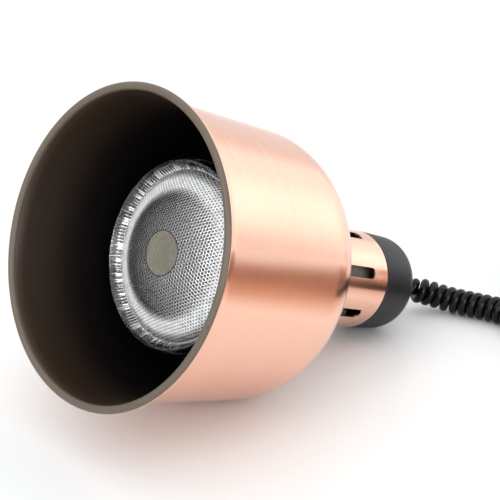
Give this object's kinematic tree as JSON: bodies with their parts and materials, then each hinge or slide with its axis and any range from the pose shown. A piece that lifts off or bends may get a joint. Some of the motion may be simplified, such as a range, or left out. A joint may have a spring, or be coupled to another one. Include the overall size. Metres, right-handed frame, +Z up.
{
  "type": "heat lamp fixture",
  "caption": "Pendant heat lamp: spun copper-coloured dome shade, large reflector bulb, slotted neck, black end cap and black curly cord ending in a ceiling canopy.",
  "frame": {"origin": "on the surface the lamp lies on, below the middle of the lamp's own box, without the cord and canopy", "axes": "+X runs along the lamp from its opening towards its cord, +Z is up; the lamp lies on its side and its axis dips about 20 degrees towards the cord, and -Y is the side the cord and canopy lie on"},
  "size_m": [0.4367, 0.3099, 0.2117],
  "materials": {
    "copper_finish": "spun metal with a brushed copper-coloured finish",
    "black_plastic": "satin charcoal",
    "porcelain": "glazed",
    "brass": "bare",
    "zinc_steel": "zinc plated",
    "cord_rubber": "glossy black sheath",
    "core_brown": "insulated wire",
    "core_blue": "insulated wire",
    "core_green": "insulated wire with a yellow stripe",
    "bulb_glass": "clear dimpled front, mirrored flank",
    "nickel": "nickel plated",
    "black_glass": "opaque black insulator",
    "tungsten": "bare wire",
    "white_plastic": "moulded"
  },
  "bodies": {
    "fixture": {"shade": "copper_finish", "neck_sleeve": "copper_finish", "end_cap": "black_plastic", "lampholder_body": "porcelain", "lampholder_shell": "brass", "centre_contact": "brass", "holder_strap": "zinc_steel", "nipple": "zinc_steel", "lower_strap_nut": "zinc_steel", "upper_strap_nut": "zinc_steel", "cap_locknut": "zinc_steel", "cord_gland": "black_plastic", "shade_screw_1": "zinc_steel", "shade_screw_2": "zinc_steel", "shade_screw_3": "zinc_steel", "foot_screw_1": "zinc_steel", "foot_screw_2": "zinc_steel", "holder_screw_1": "zinc_steel", "holder_screw_2": "zinc_steel", "terminal_screw_1": "brass", "terminal_screw_2": "brass", "earth_tag": "brass", "earth_screw": "brass", "cord_tail": "cord_rubber", "live_core": "core_brown", "neutral_core": "core_blue", "earth_core": "core_green", "canopy_cup": "copper_finish", "canopy_bracket": "zinc_steel", "canopy_terminal_block": "white_plastic", "canopy_gland": "black_plastic", "canopy_gland_nut": "zinc_steel", "canopy_cord_tail": "cord_rubber", "canopy_core_1": "core_blue", "canopy_core_2": "core_green", "canopy_core_3": "core_brown", "canopy_screw_1": "zinc_steel", "canopy_screw_2": "zinc_steel", "lamp_strain_relief": "cord_rubber", "curly_cord": "cord_rubber", "canopy_strain_relief": "cord_rubber"},
    "bulb_slide": {"bulb_envelope": "bulb_glass"},
    "bulb_turn": {"bulb_screw_shell": "nickel", "bulb_insulator": "black_glass", "bulb_tip_contact": "brass", "bulb_stem": "bulb_glass", "lead_wire_1": "nickel", "lead_wire_2": "nickel", "filament": "tungsten"}
  },
  "joints": [
    {"name": "bulb_travel", "type": "slide", "parent": "fixture", "child": "bulb_slide", "axis": [-0.937, 0, 0.3492], "range_m": [0, 0.0254]},
    {"name": "bulb_unscrew", "type": "hinge", "parent": "bulb_slide", "child": "bulb_turn", "pos_m": [-0.11479, 0, 0.12128], "axis": [-0.937, 0, 0.3492], "range_deg": [0, 2520]}
  ],
  "couplings": [
    {"joint": "bulb_unscrew", "follows": "bulb_travel", "rad_per_m": 1731.6}
  ]
}
